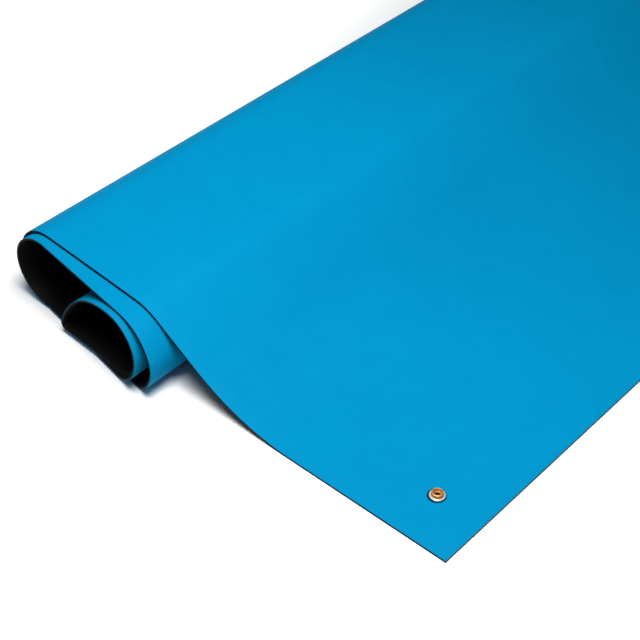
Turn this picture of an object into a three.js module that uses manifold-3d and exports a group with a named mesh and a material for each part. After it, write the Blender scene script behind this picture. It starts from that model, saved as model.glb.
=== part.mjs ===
import * as THREE from 'three';
import { mergeVertices } from 'three/addons/utils/BufferGeometryUtils.js';
import Module from 'manifold-3d';

// Anti static bench mat: a two-layer rubber sheet with one snap stud, lying on
// the floor with one end rolled under itself. Millimetres, Z up. The roll runs
// along Y and the flat end points to +X.

// Sheet stock
const MAT_LENGTH = 1524;
const MAT_WIDTH = 762;
const TOP_LAYER = 0.5;
const BASE_LAYER = 1.5;

// Ramp from the flat end up onto the roll (radii are those of the blue face)
const FLAT_RUN = 167;
const FOOT_RADIUS = 191;
const CREST_GAP = 1.4;

// Roll, seen from its near end
const ROLL_REACH = 464;
const ROLL_RADIUS = 41.3;
const LAY_GAP = 0.4;
const SIDE_GAP = 0.9;

// Outer turn on the flat side of the roll
const OUTER_HEEL_X = 332.4;
const OUTER_HEEL_RADIUS = 30;
const OUTER_BROW_RADIUS = 50.2;
const OUTER_BROW_AT = 117;

// Inner loop
const INNER_HEEL_X = 349.7;
const INNER_HEEL_RADIUS = 31.6;
const INNER_BROW_AT = 110.5;
const INNER_SIDE_RADIUS = 80;
const INNER_SIDE_AT = 178;
const INNER_CORNER_RADIUS = 6;

// How far each bend has slid out past the straight edge of the flat end
const SLIDE_LEFT_1 = -0.9;
const SLIDE_HEEL_1 = 29.5;
const SLIDE_BROW_1 = 22.2;
const SLIDE_LEFT_2 = 7.8;
const SLIDE_HEEL_2 = 33.5;
const SLIDE_BROW_2 = 27.5;
const SLIDE_SIDE = 18.4;
const SLIDE_CORNER = 20.1;
const SLIDE_END = 26;

// Snap stud and the eyelet that rivets it on
const STUD_INSET_END = 48;
const STUD_INSET_SIDE = 50;
const STUD_FLANGE_RADIUS = 7;
const STUD_BOSS_RADIUS = 5.2;
const STUD_NECK_RADIUS = 4.7;
const STUD_HEIGHT = 4;
const STUD_WALL = 0.9;
const STUD_FLOOR = 0.9;
const POST_RADIUS = 2.3;
const POST_BORE_RADIUS = 1.6;
const POST_LIP_RADIUS = 3;
const POST_LIP = 0.5;
const BACK_FLANGE_RADIUS = 6;
const BACK_FLANGE = 0.5;
const FIT_CLEARANCE = 0.3;

// Fineness of the faceted curves
const BEND_STEP = THREE.MathUtils.degToRad(7.5);
const ROUND_SEGMENTS = 48;

const THICKNESS = TOP_LAYER + BASE_LAYER;
const HALF_THICKNESS = THICKNESS / 2;
const TURN = 2 * Math.PI;

const wasm = await Module();
wasm.setup();
const { Manifold, Mesh } = wasm;

// Bends of the sheet in the plane across the roll. A heading of 0 runs towards
// +X and turns to the left; a bend to the right has a negative radius.
function leftOf(heading) {
  return new THREE.Vector2(-Math.sin(heading), Math.cos(heading));
}

function bend(x, z, faceRadius, slide) {
  const centre = new THREE.Vector2(x, z);
  return { centre, faceRadius, radius: faceRadius - HALF_THICKNESS, slide, even: false };
}

// A bend that takes over smoothly from the one before it at a given heading
function handOver(before, headingDegrees, faceRadius, slide) {
  const heading = THREE.MathUtils.degToRad(headingDegrees);
  const step = leftOf(heading).multiplyScalar(faceRadius - before.faceRadius);
  return bend(before.centre.x + step.x, before.centre.y + step.y, faceRadius, slide);
}

function topOf(someBend) {
  return someBend.centre.y + someBend.faceRadius;
}

// Height of the underside of each turn that lies on the floor or on the turn below
function layLevel(turn) {
  return turn * (THICKNESS + LAY_GAP);
}

function foot() {
  return bend(-FLAT_RUN, THICKNESS + FOOT_RADIUS, -FOOT_RADIUS, 0);
}

function outerRight() {
  const heel = bend(-OUTER_HEEL_X, OUTER_HEEL_RADIUS, OUTER_HEEL_RADIUS, SLIDE_HEEL_1);
  return [heel, handOver(heel, OUTER_BROW_AT, OUTER_BROW_RADIUS, SLIDE_BROW_1)];
}

function crestOver(brow) {
  return bend(brow.centre.x, brow.centre.y, brow.faceRadius + CREST_GAP + THICKNESS, 0);
}

// The left ends are even: they keep their slide all the way round
function leftEnd(turn, slide) {
  const radius = ROLL_RADIUS - turn * (THICKNESS + SIDE_GAP);
  return { ...bend(-ROLL_REACH, layLevel(turn) + radius, radius, slide), even: true };
}

// Right side of an inner turn: a heel, and a brow that just fits under the turn above
function innerRight(turn, ceiling, heelSlide, browSlide) {
  const heelRadius = INNER_HEEL_RADIUS - (turn - 1) * (THICKNESS + SIDE_GAP);
  const heel = bend(-INNER_HEEL_X, layLevel(turn) + heelRadius, heelRadius, heelSlide);
  const lean = Math.cos(THREE.MathUtils.degToRad(INNER_BROW_AT));
  const top = ceiling - THICKNESS - SIDE_GAP;
  const browRadius = (top - heel.centre.y + heelRadius * lean) / (1 + lean);
  return [heel, handOver(heel, INNER_BROW_AT, browRadius, browSlide)];
}

// Left side of an inner turn: a long side and a tight corner that comes down to its level
function innerLeft(turn, brow, sideSlide, cornerSlide) {
  const sideRadius = INNER_SIDE_RADIUS - (turn - 2) * (THICKNESS + SIDE_GAP);
  const side = handOver(brow, INNER_SIDE_AT, sideRadius, sideSlide);
  const drop = side.centre.y - layLevel(turn) - INNER_CORNER_RADIUS;
  const heading = TURN - Math.acos(drop / (sideRadius - INNER_CORNER_RADIUS));
  const degrees = THREE.MathUtils.radToDeg(heading);
  return [side, handOver(side, degrees, INNER_CORNER_RADIUS, cornerSlide)];
}

function allBends() {
  const right1 = outerRight();
  const right2 = innerRight(1, topOf(right1[1]), SLIDE_HEEL_2, SLIDE_BROW_2);
  const right3 = innerRight(2, topOf(right2[1]), SLIDE_END, SLIDE_END);
  const right4 = innerRight(3, topOf(right3[1]), SLIDE_END, SLIDE_END);
  return [
    foot(),
    crestOver(right1[1]),
    leftEnd(0, SLIDE_LEFT_1),
    ...right1,
    leftEnd(1, SLIDE_LEFT_2),
    ...right2,
    ...innerLeft(2, right2[1], SLIDE_SIDE, SLIDE_CORNER),
    ...right3,
    ...innerLeft(3, right3[1], SLIDE_END, SLIDE_END),
    ...right4,
  ];
}

// Heading of the straight run that touches two bends, one after the other
function headingBetween(from, to) {
  const across = to.centre.clone().sub(from.centre);
  const ratio = THREE.MathUtils.clamp((from.radius - to.radius) / across.length(), -1, 1);
  return across.angle() + Math.asin(ratio);
}

function unwind(heading, entered, turnsLeft) {
  const slack = 1e-6;
  let result = heading;
  while (turnsLeft && result < entered - slack) result += TURN;
  while (turnsLeft && result > entered + TURN - slack) result -= TURN;
  while (!turnsLeft && result > entered + slack) result -= TURN;
  return result;
}

function pointOn(someBend, heading) {
  return leftOf(heading).multiplyScalar(-someBend.radius).add(someBend.centre);
}

// Places along the sheet where its slide is known: halfway round a bend, or at
// both ends of an even one
function slideMarks(current, from, to) {
  const middle = (from + to) / 2;
  const places = current.even ? [from, to] : [middle];
  return places.map((run) => ({ run, slide: current.slide }));
}

function slideAt(marks, run) {
  const next = marks.findIndex((mark) => mark.run > run);
  if (next < 0) return marks[marks.length - 1].slide;
  if (next === 0) return marks[0].slide;
  const before = marks[next - 1];
  const share = (run - before.run) / (marks[next].run - before.run);
  return THREE.MathUtils.lerp(before.slide, marks[next].slide, share);
}

// Points along the middle of the thickness, from the flat end to the inner end.
// From mark to mark the sheet slides sideways evenly.
function sheetPath(bends) {
  const path = [{ at: new THREE.Vector2(0, HALF_THICKNESS), heading: Math.PI, run: 0 }];
  const marks = [];
  let heading = Math.PI;
  bends.slice(0, -1).forEach((current, index) => {
    const leave = unwind(headingBetween(current, bends[index + 1]), heading, current.radius > 0);
    const last = path[path.length - 1];
    const from = last.run + pointOn(current, heading).distanceTo(last.at);
    const arc = Math.abs((leave - heading) * current.radius);
    const steps = Math.max(1, Math.ceil(Math.abs(leave - heading) / BEND_STEP));
    for (let step = 0; step <= steps; step += 1) {
      const share = step / steps;
      const now = THREE.MathUtils.lerp(heading, leave, share);
      const run = from + arc * share;
      const isNew = run > path[path.length - 1].run + 1e-4;
      if (isNew) path.push({ at: pointOn(current, now), heading: now, run });
    }
    marks.push(...slideMarks(current, from, from + arc));
    heading = leave;
  });
  return path.map((station) => ({ ...station, slide: slideAt(marks, station.run) }));
}

// Cuts the path off where the sheet ends
function trimmed(path) {
  const kept = path.filter((station) => station.run < MAT_LENGTH);
  const last = kept[kept.length - 1];
  const next = path[kept.length];
  const share = (MAT_LENGTH - last.run) / (next.run - last.run);
  const at = last.at.clone().lerp(next.at, share);
  const heading = THREE.MathUtils.lerp(last.heading, next.heading, share);
  const slide = THREE.MathUtils.lerp(last.slide, next.slide, share);
  return [...kept, { at, heading, run: MAT_LENGTH, slide }];
}

const stations = trimmed(sheetPath(allBends()));

// One layer of the sheet: a flat box with its right end at the flat end of the
// mat, bent along the path. Depth is measured from the blue face down.
function bentLayer(depthFrom, depthTo) {
  const last = stations.length - 1;
  const geometry = new THREE.BoxGeometry(last, MAT_WIDTH, 1, last, 1, 1);
  const position = geometry.attributes.position;
  for (let i = 0; i < position.count; i += 1) {
    const station = stations[Math.round(last / 2 - position.getX(i))];
    const depth = position.getZ(i) > 0 ? depthFrom : depthTo;
    const place = leftOf(station.heading).multiplyScalar(depth - HALF_THICKNESS).add(station.at);
    const across = position.getY(i) > 0 ? MAT_WIDTH : 0;
    position.setXYZ(i, place.x, across - station.slide, place.y);
  }
  return geometry;
}

function welded(geometry) {
  const bare = new THREE.BufferGeometry();
  bare.setAttribute('position', geometry.attributes.position);
  bare.setIndex(geometry.index);
  return mergeVertices(bare, 1e-4);
}

function toSolid(geometry) {
  const bare = welded(geometry);
  return new Manifold(new Mesh({
    numProp: 3,
    vertProperties: new Float32Array(bare.attributes.position.array),
    triVerts: new Uint32Array(bare.index.array),
  }));
}

function toGeometry(solid) {
  const mesh = solid.getMesh();
  const geometry = new THREE.BufferGeometry();
  geometry.setAttribute('position', new THREE.BufferAttribute(mesh.vertProperties, 3));
  geometry.setIndex(new THREE.BufferAttribute(mesh.triVerts, 1));
  geometry.computeVertexNormals();
  return geometry;
}

// A round piece turned about the stud's axis from points of radius and height
function turned(points) {
  const outline = points.map(([radius, height]) => new THREE.Vector2(radius, height));
  const geometry = new THREE.LatheGeometry([...outline, outline[0]], ROUND_SEGMENTS);
  geometry.rotateX(Math.PI / 2);
  geometry.translate(-STUD_INSET_END, STUD_INSET_SIDE, 0);
  return geometry;
}

function roundHole(radius, from, to) {
  const geometry = new THREE.CylinderGeometry(radius, radius, to - from, ROUND_SEGMENTS);
  geometry.rotateX(Math.PI / 2);
  geometry.translate(-STUD_INSET_END, STUD_INSET_SIDE, (from + to) / 2);
  return toSolid(geometry);
}

function topLayer() {
  const sheet = toSolid(bentLayer(0, TOP_LAYER));
  const hole = roundHole(POST_RADIUS + FIT_CLEARANCE, -1, THICKNESS + 1);
  return toGeometry(sheet.subtract(hole));
}

function baseLayer() {
  const sheet = toSolid(bentLayer(TOP_LAYER, THICKNESS));
  const hole = roundHole(POST_RADIUS + FIT_CLEARANCE, -1, THICKNESS + 1);
  const seat = roundHole(BACK_FLANGE_RADIUS + FIT_CLEARANCE, -1, BACK_FLANGE);
  return toGeometry(sheet.subtract(hole).subtract(seat));
}

// Male half of the snap: a pressed ring with a flange on the mat and a raised boss
function snapStud() {
  const base = THICKNESS;
  const inner = POST_RADIUS + FIT_CLEARANCE;
  const hollow = STUD_BOSS_RADIUS - STUD_WALL;
  return turned([
    [inner, base],
    [STUD_FLANGE_RADIUS - 0.2, base],
    [STUD_FLANGE_RADIUS, base + 0.2],
    [STUD_FLANGE_RADIUS - 0.2, base + 0.5],
    [STUD_NECK_RADIUS + 0.5, base + 0.8],
    [STUD_NECK_RADIUS, base + 1.3],
    [STUD_BOSS_RADIUS, base + 0.6 * STUD_HEIGHT],
    [STUD_BOSS_RADIUS, base + 0.75 * STUD_HEIGHT],
    [STUD_BOSS_RADIUS - 0.2, base + 0.93 * STUD_HEIGHT],
    [STUD_BOSS_RADIUS - 0.5, base + STUD_HEIGHT],
    [hollow - 0.4, base + STUD_HEIGHT],
    [hollow - 0.6, base + 0.9 * STUD_HEIGHT],
    [hollow - 0.6, base + STUD_FLOOR],
    [inner, base + STUD_FLOOR],
  ]);
}

// Rivet of the snap: a flat flange let into the underside, a post through both
// layers, and a lip rolled over inside the stud
function snapEyelet() {
  const lipFrom = THICKNESS + STUD_FLOOR;
  return turned([
    [POST_BORE_RADIUS, 0],
    [BACK_FLANGE_RADIUS, 0],
    [BACK_FLANGE_RADIUS, BACK_FLANGE],
    [POST_RADIUS, BACK_FLANGE],
    [POST_RADIUS, lipFrom],
    [POST_LIP_RADIUS, lipFrom],
    [POST_LIP_RADIUS, lipFrom + 0.6 * POST_LIP],
    [POST_RADIUS, lipFrom + POST_LIP],
    [POST_BORE_RADIUS, lipFrom + 0.6 * POST_LIP],
  ]);
}

function piece(name, geometry, color, roughness, metalness) {
  const material = new THREE.MeshStandardMaterial({ color, roughness, metalness });
  const mesh = new THREE.Mesh(geometry, material);
  mesh.name = name;
  return mesh;
}

const group = new THREE.Group();
group.name = 'anti_static_bench_mat';
group.add(piece('top_layer', topLayer(), 0x0a9bd6, 0.62, 0));
group.add(piece('base_layer', baseLayer(), 0x0b0b0d, 0.75, 0));
group.add(piece('snap_stud', snapStud(), 0xb08a68, 0.3, 1));
group.add(piece('snap_eyelet', snapEyelet(), 0xb9b4aa, 0.32, 1));

// The middle of the footprint goes to the origin, with the floor at height zero
const bounds = new THREE.Box3().setFromObject(group);
const middle = bounds.getCenter(new THREE.Vector3());
group.children.forEach((mesh) => mesh.geometry.translate(-middle.x, -middle.y, -bounds.min.z));

export default group;
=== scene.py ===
import math

import bpy
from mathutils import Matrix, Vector


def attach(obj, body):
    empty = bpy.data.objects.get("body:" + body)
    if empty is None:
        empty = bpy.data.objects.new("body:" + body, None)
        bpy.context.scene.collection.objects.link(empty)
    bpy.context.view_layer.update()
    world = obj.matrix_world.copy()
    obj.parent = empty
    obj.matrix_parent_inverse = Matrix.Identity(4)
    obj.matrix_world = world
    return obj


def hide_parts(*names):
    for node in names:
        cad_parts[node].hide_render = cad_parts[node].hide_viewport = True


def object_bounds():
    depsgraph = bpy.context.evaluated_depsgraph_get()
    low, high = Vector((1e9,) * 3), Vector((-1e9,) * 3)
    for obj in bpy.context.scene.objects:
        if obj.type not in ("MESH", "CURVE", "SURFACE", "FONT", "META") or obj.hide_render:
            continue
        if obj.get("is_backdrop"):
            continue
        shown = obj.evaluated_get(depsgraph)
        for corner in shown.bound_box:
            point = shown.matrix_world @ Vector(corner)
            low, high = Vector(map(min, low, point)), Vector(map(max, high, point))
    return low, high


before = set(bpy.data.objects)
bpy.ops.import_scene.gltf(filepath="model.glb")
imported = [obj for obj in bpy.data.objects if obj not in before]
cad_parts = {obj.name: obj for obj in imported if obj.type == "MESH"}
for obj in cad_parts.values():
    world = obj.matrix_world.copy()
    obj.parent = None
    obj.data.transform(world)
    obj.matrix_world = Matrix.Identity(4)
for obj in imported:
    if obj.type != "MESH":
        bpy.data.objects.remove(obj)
solid_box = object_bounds()


# The view is from above the corner with the snap stud, down along the open end
# of the roll, with the far side of the mat running out of the picture.
def point_camera(place, down, aside, lens):
    data = bpy.data.cameras.new("camera")
    data.lens = lens
    data.sensor_width = 36
    data.clip_end = 50
    camera = bpy.data.objects.new("camera", data)
    camera.location = place
    camera.rotation_euler = (math.radians(90 - down), 0, math.radians(aside))
    bpy.context.scene.collection.objects.link(camera)
    bpy.context.scene.camera = camera


point_camera((0.68251, -0.99049, 0.90552), down=41, aside=41.9, lens=83.81)


# Base layer: the black conductive rubber that the mat lies on, 1.5 mm thick.
# It is calendered as one long sheet and cut to size, and here its inner end is
# rolled up under the mat, a little out of line, so the turns step outwards.
MAT_LENGTH = 1.524
MAT_WIDTH = 0.762
TOP_THICKNESS = 0.0005
BASE_THICKNESS = 0.0015
THICKNESS = TOP_THICKNESS + BASE_THICKNESS
LAY_GAP = 0.0004
SIDE_GAP = 0.0009
FLAT_END_X = 0.2526416
NEAR_EDGE_Y = -0.3648194

# The bends, from the flat end inwards: x back from the flat end, radii of the
# blue face, and the headings in degrees at which one bend takes over from another.
FLAT_RUN = 0.167
FOOT_RADIUS = 0.191
CREST_GAP = 0.0014
ROLL_REACH = 0.464
ROLL_RADIUS = 0.0413
OUTER_HEEL_X = -0.3324
OUTER_HEEL_RADIUS = 0.03
OUTER_BROW_AT = 117
OUTER_BROW_RADIUS = 0.0502
INNER_HEEL_X = -0.3497
INNER_HEEL_RADIUS = 0.0316
INNER_BROW_AT = 110.5
INNER_SIDE_AT = 178
INNER_SIDE_RADIUS = 0.08
INNER_CORNER_RADIUS = 0.006

# How far each bend has slid out of the roll at the near end.
SLIDES = {
    "foot": 0, "crest": 0, "left_one": -0.0009, "outer_heel": 0.0295, "outer_brow": 0.0222,
    "left_two": 0.0078, "inner_heel": 0.0335, "inner_brow": 0.0275, "inner_side": 0.0184,
    "inner_corner": 0.0201, "last_heel": 0.026, "last_brow": 0.026,
}


def left_of(heading):
    return Vector((-math.sin(heading), math.cos(heading)))


def bend(name, x, z, radius, even=False):
    """A bend of the sheet, seen from the near end. An even one keeps its slide all round."""
    return {"centre": Vector((x, z)), "radius": radius, "slide": SLIDES[name], "even": even}


def bend_after(name, before, degrees, radius):
    """A bend that takes over smoothly from another where that one has turned to a heading."""
    step = left_of(math.radians(degrees)) * (radius - before["radius"])
    return bend(name, before["centre"].x + step.x, before["centre"].y + step.y, radius)


def top_of(one):
    return one["centre"].y + one["radius"]


def inner_right(names, turn, ceiling):
    """The heel and brow of an inner turn, which lies on the turn before it and under a ceiling."""
    heel_radius = INNER_HEEL_RADIUS - (turn - 1) * (THICKNESS + SIDE_GAP)
    heel = bend(names[0], INNER_HEEL_X, turn * (THICKNESS + LAY_GAP) + heel_radius, heel_radius)
    lean = math.cos(math.radians(INNER_BROW_AT))
    top = ceiling - THICKNESS - SIDE_GAP
    brow_radius = (top - heel["centre"].y + heel_radius * lean) / (1 + lean)
    return [heel, bend_after(names[1], heel, INNER_BROW_AT, brow_radius)]


def inner_left(brow):
    """The slack left side of the inner turn, and the corner where it lies down again."""
    side = bend_after("inner_side", brow, INNER_SIDE_AT, INNER_SIDE_RADIUS)
    drop = side["centre"].y - 2 * (THICKNESS + LAY_GAP) - INNER_CORNER_RADIUS
    heading = 360 - math.degrees(math.acos(drop / (side["radius"] - INNER_CORNER_RADIUS)))
    return [side, bend_after("inner_corner", side, heading, INNER_CORNER_RADIUS)]


def all_bends():
    """Every bend in order. The crest goes round the centre of the outer turn's brow below it."""
    heel = bend("outer_heel", OUTER_HEEL_X, OUTER_HEEL_RADIUS, OUTER_HEEL_RADIUS)
    brow = bend_after("outer_brow", heel, OUTER_BROW_AT, OUTER_BROW_RADIUS)
    crest = bend("crest", *brow["centre"], brow["radius"] + CREST_GAP + THICKNESS)
    foot = bend("foot", -FLAT_RUN, THICKNESS + FOOT_RADIUS, -FOOT_RADIUS)
    left_one = bend("left_one", -ROLL_REACH, ROLL_RADIUS, ROLL_RADIUS, even=True)
    inset = ROLL_RADIUS - THICKNESS - SIDE_GAP
    left_two = bend("left_two", -ROLL_REACH, THICKNESS + LAY_GAP + inset, inset, even=True)
    loop = inner_right(("inner_heel", "inner_brow"), 1, top_of(brow))
    end = inner_right(("last_heel", "last_brow"), 2, top_of(loop[1]))
    return [foot, crest, left_one, heel, brow, left_two, *loop, *inner_left(loop[1]), *end]


def heading_between(one, other):
    across = other["centre"] - one["centre"]
    ratio = (one["radius"] - other["radius"]) / across.length
    return math.atan2(across.y, across.x) % (2 * math.pi) + math.asin(max(-1, min(1, ratio)))


def slide_at(marks, run):
    """The sheet slides sideways evenly from one mark, a run and a slide, to the next."""
    for before, mark in zip(marks, marks[1:]):
        if run < mark[0]:
            share = max(0.0, (run - before[0]) / (mark[0] - before[0]))
            return before[1] + (mark[1] - before[1]) * share
    return marks[-1][1]


def sheet_stations(step=math.radians(3.5), stride=0.007, tiny=1e-6):
    """Places along the middle of the thickness: point, heading, run along the sheet and slide."""
    half = THICKNESS / 2
    path = [(Vector((0, half)), math.pi, 0.0)]
    marks = []

    def on_bend(one, heading):
        return one["centre"] - left_of(heading) * (one["radius"] - half)

    def move_on(count, place_at, heading_at, length):
        run = path[-1][2]
        for k in range(1, count + 1):
            path.append((place_at(k / count), heading_at(k / count), run + length * k / count))

    heading = math.pi
    bends = all_bends()
    for one, other in zip(bends, bends[1:]):
        leave = heading_between(one, other)
        turns_left = one["radius"] > 0
        while turns_left and leave < heading - tiny:
            leave += 2 * math.pi
        while not turns_left and leave > heading + tiny:
            leave -= 2 * math.pi
        start, entry = path[-1][0], on_bend(one, heading)
        entered, swing = heading, leave - heading
        straight = (entry - start).length
        if straight > tiny:
            steps = math.ceil(straight / stride)
            move_on(steps, lambda s: start.lerp(entry, s), lambda s: entered, straight)
        arc, begun = abs(swing * (one["radius"] - half)), path[-1][2]
        steps = max(1, math.ceil(abs(swing) / step))
        move_on(
            steps, lambda s: on_bend(one, entered + swing * s), lambda s: entered + swing * s, arc
        )
        places = (begun, begun + arc) if one["even"] else (begun + arc / 2,)
        marks += [(place, one["slide"]) for place in places]
        heading = leave
    kept = [station for station in path if station[2] < MAT_LENGTH]
    last, following = kept[-1], path[len(kept)]
    share = (MAT_LENGTH - last[2]) / (following[2] - last[2])
    heading = last[1] + (following[1] - last[1]) * share
    kept.append((last[0].lerp(following[0], share), heading, MAT_LENGTH))
    return [(*station, slide_at(marks, station[2])) for station in kept]


def clamped(share):
    return max(0.0, min(1.0, share))


def rise(run, across, height=0.0003):
    """The slight unevenness of limp rubber on the ramp and the top of the roll, upwards only."""
    share = clamped((run - 0.18) / 0.12) * clamped((0.47 - run) / 0.1)
    wave = math.sin(9.1 * across + 14 * run) + 0.6 * math.sin(17.3 * across - 9 * run + 1.3)
    return height * share * (1.6 + wave)


def rolled_sheet(name, top_depth, bottom_depth, columns=44):
    """One layer of the mat as a closed sheet, from its depth below the blue face."""
    stations = sheet_stations()
    verts, faces, grid_uv = [], [], []
    for depth in (top_depth, bottom_depth):
        for place, heading, run, slide in stations:
            for column in range(columns + 1):
                across = MAT_WIDTH * column / columns
                lift = THICKNESS / 2 - depth + rise(run, across)
                point = place - left_of(heading) * lift
                verts.append((point.x + FLAT_END_X, across - slide + NEAR_EDGE_Y, point.y))
                grid_uv.append((run, across))
    row = columns + 1
    side = row * len(stations)
    for i in range(len(stations) - 1):
        for column in range(columns):
            a = i * row + column
            faces.append((a, a + 1, a + row + 1, a + row))
            faces.append((side + a, side + a + row, side + a + row + 1, side + a + 1))
        near, far = i * row, i * row + columns
        faces.append((near, near + row, side + near + row, side + near))
        faces.append((far, side + far, side + far + row, far + row))
    for column in range(columns):
        last = side - row + column
        faces.append((column, side + column, side + column + 1, column + 1))
        faces.append((last, last + 1, side + last + 1, side + last))
    mesh = bpy.data.meshes.new(name)
    mesh.from_pydata(verts, [], faces)
    layer = mesh.uv_layers.new(name="along_the_mat")
    for loop in mesh.loops:
        layer.data[loop.index].uv = grid_uv[loop.vertex_index]
    sheet = bpy.data.objects.new(name, mesh)
    bpy.context.scene.collection.objects.link(sheet)
    return sheet


def apply_modifier(piece, kind, **settings):
    bpy.ops.object.select_all(action="DESELECT")
    piece.select_set(True)
    bpy.context.view_layer.objects.active = piece
    modifier = piece.modifiers.new(kind.lower(), kind)
    for name, value in settings.items():
        setattr(modifier, name, value)
    bpy.ops.object.modifier_apply(modifier=modifier.name)


def round_edges(piece, width, sharpest, smooth):
    """Rounds the edges that turn more than an angle, and shades the rest smooth."""
    apply_modifier(
        piece, "BEVEL", width=width, segments=2, limit_method="ANGLE", angle_limit=sharpest
    )
    bpy.ops.object.shade_smooth_by_angle(angle=math.radians(smooth))


# The snap sits near the flat corner, and its post goes through both layers.
STUD_INSET = (0.048, 0.050)
STUD_X = FLAT_END_X - STUD_INSET[0]
STUD_Y = NEAR_EDGE_Y + STUD_INSET[1]
POST_HOLE_RADIUS = 0.0026
POCKET_RADIUS = 0.0063
POCKET_DEPTH = 0.0005


def punch_hole(piece, radius, high=0.003, low=-0.001):
    """Punches a round hole on the stud's axis, from below."""
    bpy.ops.object.select_all(action="DESELECT")
    middle = (STUD_X, STUD_Y, (low + high) / 2)
    bpy.ops.mesh.primitive_cylinder_add(
        vertices=64, radius=radius, depth=high - low, location=middle
    )
    punch = bpy.context.object
    apply_modifier(piece, "BOOLEAN", operation="DIFFERENCE", solver="EXACT", object=punch)
    bpy.data.objects.remove(punch)


class Shade:
    """A socket in a material. Sums and products of shades add their own Math nodes."""

    def __init__(self, tree, socket):
        self.tree = tree
        self.socket = socket

    def node(self, kind, settings, inputs, output=0):
        made = self.tree.nodes.new(kind)
        for name, value in settings.items():
            setattr(made, name, value)
        for name, value in inputs.items():
            if isinstance(value, Shade):
                self.tree.links.new(value.socket, made.inputs[name])
            else:
                made.inputs[name].default_value = value
        return Shade(self.tree, made.outputs[output])

    def math(self, operation, first, second=0.0):
        return self.node("ShaderNodeMath", {"operation": operation}, {0: first, 1: second})

    def __add__(self, other):
        return self.math("ADD", self, other)

    def __sub__(self, other):
        return self.math("SUBTRACT", self, other)

    def __rsub__(self, other):
        return self.math("SUBTRACT", other, self)

    def __mul__(self, other):
        return self.math("MULTIPLY", self, other)

    def __gt__(self, other):
        return self.math("GREATER_THAN", self, other)

    def __lt__(self, other):
        return self.math("LESS_THAN", self, other)

    __radd__ = __add__
    __rmul__ = __mul__

    def noise(self, scale, detail=3.0, roughness=0.5):
        inputs = {"Vector": self, "Scale": scale, "Detail": detail, "Roughness": roughness}
        return self.node("ShaderNodeTexNoise", {}, inputs)

    def ramp(self, low, high):
        """Rises from 0 at low to 1 at high."""
        inputs = {"Value": self, "From Min": low, "From Max": high}
        return self.node("ShaderNodeMapRange", {"interpolation_type": "SMOOTHSTEP"}, inputs)

    def blend(self, first, second):
        """A colour between two others, by this value."""
        colours = [c if isinstance(c, Shade) else (*c, 1) for c in (first, second)]
        inputs = {0: self, 6: colours[0], 7: colours[1]}
        return self.node("ShaderNodeMix", {"data_type": "RGBA"}, inputs, output=2)

    def part(self, axis):
        return self.node("ShaderNodeSeparateXYZ", {}, {0: self}, output=axis)


def start_material(name, coordinates, **constants):
    """A new material: its coordinates as a Shade, and a call that joins its surface up."""
    material = bpy.data.materials.new(name)
    material.use_nodes = True
    tree = material.node_tree
    surface = tree.nodes["Principled BSDF"]
    for key, value in constants.items():
        surface.inputs[key.replace("_", " ")].default_value = value
    if coordinates == "OBJECT":
        place = tree.nodes.new("ShaderNodeTexCoord").outputs["Object"]
    else:
        place = tree.nodes.new("ShaderNodeUVMap")
        place.uv_map = coordinates
        place = place.outputs["UV"]

    def join(colour, roughness, height, depth, metallic=None, glow=None):
        start = Shade(tree, place)
        relief = {"Height": height, "Strength": 1.0, "Distance": depth}
        bump = start.node("ShaderNodeBump", {}, relief)
        tree.links.new(colour.socket, surface.inputs["Base Color"])
        tree.links.new(roughness.socket, surface.inputs["Roughness"])
        tree.links.new(bump.socket, surface.inputs["Normal"])
        if metallic:
            tree.links.new(metallic.socket, surface.inputs["Metallic"])
        if glow:
            tree.links.new(glow.socket, surface.inputs["Emission Color"])
        return material

    return Shade(tree, place), join


def black_rubber():
    place, join = start_material("black_rubber", "along_the_mat", Specular_IOR_Level=0.12)
    grain = place.noise(1500, 2.0)
    clouds = place.noise(14, 4.0)
    dust = place.noise(420, 5.0, 0.75).ramp(0.6, 0.78)
    worn = place.noise(60, 3.0).ramp(0.45, 0.75)
    plain = clouds.blend((0.0022, 0.0021, 0.0026), (0.0042, 0.004, 0.0046))
    colour = (dust * 0.12 + worn * 0.05).blend(plain, (0.022, 0.021, 0.021))
    roughness = 0.62 + 0.16 * clouds + 0.1 * dust
    return join(colour, roughness, grain * 0.7 + dust * 0.3, 0.00012)


base_layer = rolled_sheet("rolled_base_layer", TOP_THICKNESS, THICKNESS)
punch_hole(base_layer, POST_HOLE_RADIUS)
punch_hole(base_layer, POCKET_RADIUS, POCKET_DEPTH)
round_edges(base_layer, 0.0002, sharpest=0.9, smooth=35)
base_layer.data.materials.append(black_rubber())
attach(base_layer, "root")
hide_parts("base_layer")


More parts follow.
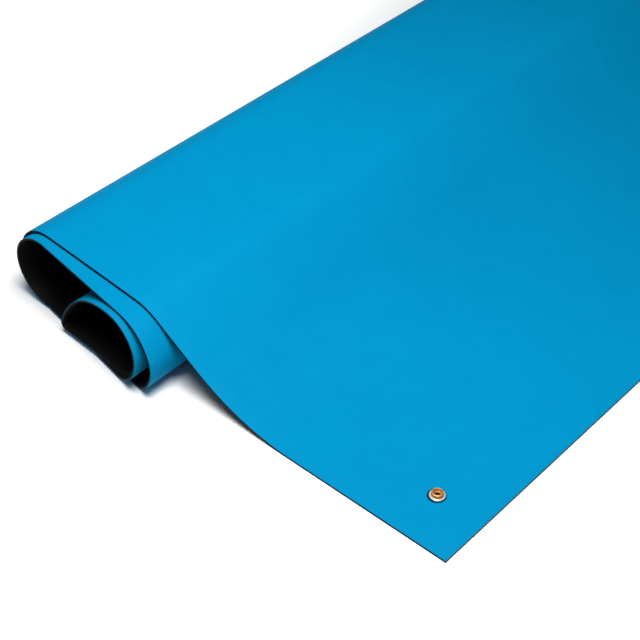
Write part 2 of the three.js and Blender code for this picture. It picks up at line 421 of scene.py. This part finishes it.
# Top layer: the blue static dissipative rubber that one works on, 0.5 mm thick,
# matt with a fine even grain. It is bonded to the base layer all over, and the
# two are cut together. Its cut edge is painted dark, as painted shade for the
# shadow it lies in near the floor. A dark ring by the stud is a painted shadow
# of the stud, set off towards the near edge.
def blue_rubber():
    place, join = start_material("blue_rubber", "along_the_mat", Specular_IOR_Level=0.015)
    grain = place.noise(1100, 3.0, 0.6)
    weave = place.noise(240, 2.0)
    clouds = place.noise(5, 3.0)
    mottle = place.noise(38, 4.0, 0.6)
    scuffs = place.noise(95, 6.0, 0.7).ramp(0.62, 0.8)
    # The cut edges of the blue are painted dark: painted shade for the shadow they lie in near the
    # floor.
    across, edge = place.part(1), 0.0002
    cut = (across < edge) + (across > MAT_WIDTH - edge)
    # Painted shadow of the stud: a dark ring round its flange, centred a little towards the near
    # edge.
    stud_shadow_shift = 0.0007
    x, y = place.part(0) - STUD_INSET[0], place.part(1) - (STUD_INSET[1] - stud_shadow_shift)
    ring = 1 - place.math("SQRT", x * x + y * y).ramp(0.0075, 0.009)
    tint = 0.5 * clouds + 0.3 * mottle + 0.2 * weave
    plain = tint.blend((0.0002, 0.196, 0.408), (0.0006, 0.282, 0.53))
    rubbed = (scuffs * 0.1).blend(plain, (0.006, 0.33, 0.6))
    # The painted stud shadow is laid over the rubber's colour here.
    with_stud_shadow = (ring * 0.95).blend(rubbed, (0.0005, 0.012, 0.04))
    colour = cut.blend(with_stud_shadow, (0.012, 0.1, 0.19))
    roughness = 0.46 + 0.14 * mottle + 0.1 * scuffs
    return join(colour, roughness, grain * 0.75 + weave * 0.25, 0.00016)


top_layer = rolled_sheet("rolled_top_layer", 0, TOP_THICKNESS)
punch_hole(top_layer, POST_HOLE_RADIUS)
round_edges(top_layer, 0.00012, sharpest=0.9, smooth=35)
top_layer.data.materials.append(blue_rubber())
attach(top_layer, "root")
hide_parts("top_layer")


# Snap eyelet: the rivet of the snap, a thin tube of plated brass on a flat
# flange. It is pushed through from below, its flange let into the base layer,
# and its lip is rolled over inside the stud to hold the two together.
def turned_piece(name, outline):
    """Draws a ring on the stud's axis and extrudes it from ring to ring until it closes."""
    bpy.ops.object.select_all(action="DESELECT")
    radius, height = outline[0]
    start = (STUD_X, STUD_Y, height)
    bpy.ops.mesh.primitive_circle_add(vertices=96, radius=radius, location=start)
    piece = bpy.context.object
    piece.name = name
    bpy.ops.object.mode_set(mode="EDIT")
    bpy.ops.mesh.select_all(action="SELECT")
    for (radius, height), (wider, higher) in zip(outline, outline[1:] + outline[:1]):
        bpy.ops.mesh.extrude_region_move(TRANSFORM_OT_translate={"value": (0, 0, higher - height)})
        share, middle = wider / radius, (STUD_X, STUD_Y, higher)
        bpy.ops.transform.resize(value=(share, share, 1), center_override=middle)
    bpy.ops.mesh.select_all(action="SELECT")
    bpy.ops.mesh.remove_doubles(threshold=0.000001)
    bpy.ops.mesh.normals_make_consistent(inside=False)
    bpy.ops.object.mode_set(mode="OBJECT")
    bpy.ops.object.transform_apply(location=True, rotation=True, scale=True)
    return piece


def around(centre, width, height, sweep, count=5):
    """Points on part of an oval, for a rolled or rounded corner, in degrees from outwards."""
    first, last = (math.radians(a) for a in sweep)
    turns = [first + (last - first) * k / count for k in range(count + 1)]
    return [(centre[0] + width * math.cos(t), centre[1] + height * math.sin(t)) for t in turns]


def plated_brass(name, boss, flange, hollow_shade_radius):
    """A boss of one colour on a flange of another, both with fine rings and a dull tarnish in
    blotches, and with painted shade darkening the hollow at the centre.
    """
    place, join = start_material(name, "OBJECT")
    centre = {"Vector": place, "Location": (-STUD_X, -STUD_Y, 0)}
    local = place.node("ShaderNodeMapping", {}, centre)
    x, y, z = local.part(0), local.part(1), local.part(2)
    radius = place.math("SQRT", x * x + y * y)
    rings = place.math("SINE", radius * 42000.0)
    scratches = local.noise(2600, 4.0, 0.65)
    blotches = local.noise(700, 3.0)
    # Painted shade: everything inside a radius round the axis is darkened, so the hollow reads as
    # dark; blotches of real tarnish are added to it.
    painted_hollow_shade = 1 - radius.ramp(hollow_shade_radius - 0.0004, hollow_shade_radius + 0.0005)
    tarnish_and_shade = painted_hollow_shade + blotches.ramp(0.55, 0.8) * 0.2
    low = 1 - z.ramp(THICKNESS + 0.0004, THICKNESS + 0.0012)
    colour = tarnish_and_shade.blend(low.blend(boss, flange), (0.07, 0.03, 0.012))
    roughness = 0.3 + 0.16 * scratches + 0.2 * tarnish_and_shade
    metallic = 0.72 - 0.3 * low
    return join(colour, roughness, rings * 0.15 + scratches * 0.85, 0.00004, metallic)


LIP_HEIGHT = THICKNESS + 0.0009
eyelet = turned_piece("riveted_snap_eyelet", [
    (0.0016, 0.0001), (0.0018, 0), (0.0058, 0), (0.006, 0.0001), (0.006, 0.0004),
    (0.0059, 0.0005),
    (0.0024, 0.0005), (0.0023, 0.0006), (0.0023, LIP_HEIGHT),
    *around((0.00265, LIP_HEIGHT + 0.00018), 0.00035, 0.00018, (-90, 90)),
    *around((0.00225, LIP_HEIGHT + 0.0002), 0.00065, 0.0003, (90, 180)),
    (0.0016, THICKNESS),
])
round_edges(eyelet, 0.00006, sharpest=0.7, smooth=40)
eyelet.data.materials.append(
    plated_brass("plated_brass_eyelet", (0.42, 0.2, 0.07), (0.6, 0.56, 0.5), hollow_shade_radius=0.0021)
)
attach(eyelet, "root")
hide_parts("snap_eyelet")


# Snap stud: the male half of a 10 mm snap that the ground cord presses onto.
# It is pressed from thin plated brass, with a silvery flange that lies on the
# blue rubber and a copper coloured boss with a waist, and it is riveted on.
HOLLOW_FLOOR = THICKNESS + 0.0009
stud = turned_piece("pressed_snap_stud", [
    (POST_HOLE_RADIUS, THICKNESS), (0.0066, THICKNESS),
    *around((0.0066, THICKNESS + 0.0003), 0.0004, 0.0003, (-80, 90)),
    (0.0062, THICKNESS + 0.00055), (0.0056, THICKNESS + 0.00052), (0.0052, THICKNESS + 0.0007),
    (0.0048, THICKNESS + 0.0011), (0.00468, THICKNESS + 0.0015), (0.0048, THICKNESS + 0.0019),
    *around((0.0043, THICKNESS + 0.0028), 0.0009, 0.0012, (-20, 80)),
    (0.0041, THICKNESS + 0.004), (0.0039, THICKNESS + 0.00396), (0.0037, THICKNESS + 0.0037),
    (0.0037, HOLLOW_FLOOR + 0.0003), (0.0035, HOLLOW_FLOOR + 0.00006), (0.0032, HOLLOW_FLOOR),
    (POST_HOLE_RADIUS, HOLLOW_FLOOR),
])
round_edges(stud, 0.00005, sharpest=0.7, smooth=40)
stud.data.materials.append(
    plated_brass("plated_brass_stud", (0.86, 0.38, 0.12), (0.66, 0.63, 0.57), hollow_shade_radius=0.0033)
)
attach(stud, "root")
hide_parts("snap_stud")


# The studio: a plain white floor and soft light from above the near end, which
# falls off towards the far side of the mat. The floor glows faintly behind the
# roll and beyond the far side, so that the background is as white there.
bpy.ops.object.select_all(action="DESELECT")
bpy.ops.mesh.primitive_plane_add(size=40, location=(0, 0, -0.0002))
floor = bpy.context.object
floor.name = "floor"


def white_floor():
    place, join = start_material(
        "white_floor", "OBJECT", Specular_IOR_Level=0.0, Emission_Strength=0.4
    )
    grain = place.noise(60, 1.0)
    tone = place.noise(0.8, 1.0).blend((0.94, 0.94, 0.94), (0.96, 0.96, 0.96))
    behind = 1 - place.part(0).ramp(-0.42, -0.26) + place.part(1).ramp(0.44, 0.8)
    glow = behind.blend((0, 0, 0), (1, 1, 1))
    return join(tone, 0.85 + 0.1 * grain, grain, 0.00001, glow=glow)


floor.data.materials.append(white_floor())
floor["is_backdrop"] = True


def soft_light(name, place, target, size, power):
    data = bpy.data.lights.new(name, "AREA")
    data.shape = "SQUARE"
    data.size = size
    data.energy = power
    lamp = bpy.data.objects.new(name, data)
    lamp.location = place
    lamp.rotation_euler = (Vector(target) - Vector(place)).to_track_quat("-Z", "Y").to_euler()
    bpy.context.scene.collection.objects.link(lamp)


soft_light("key_light", (0.15, -0.42, 1.12), (0, -0.2, 0), size=0.6, power=18)
world = bpy.data.worlds.new("studio")
world.use_nodes = True
world.node_tree.nodes["Background"].inputs["Color"].default_value = (1, 1, 1, 1)
world.node_tree.nodes["Background"].inputs["Strength"].default_value = 0.1
bpy.context.scene.world = world
bpy.context.scene.view_settings.view_transform = "Standard"

boxes = {"solids": solid_box, "dressed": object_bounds()}
{name: [list(corner) for corner in box] for name, box in boxes.items()}
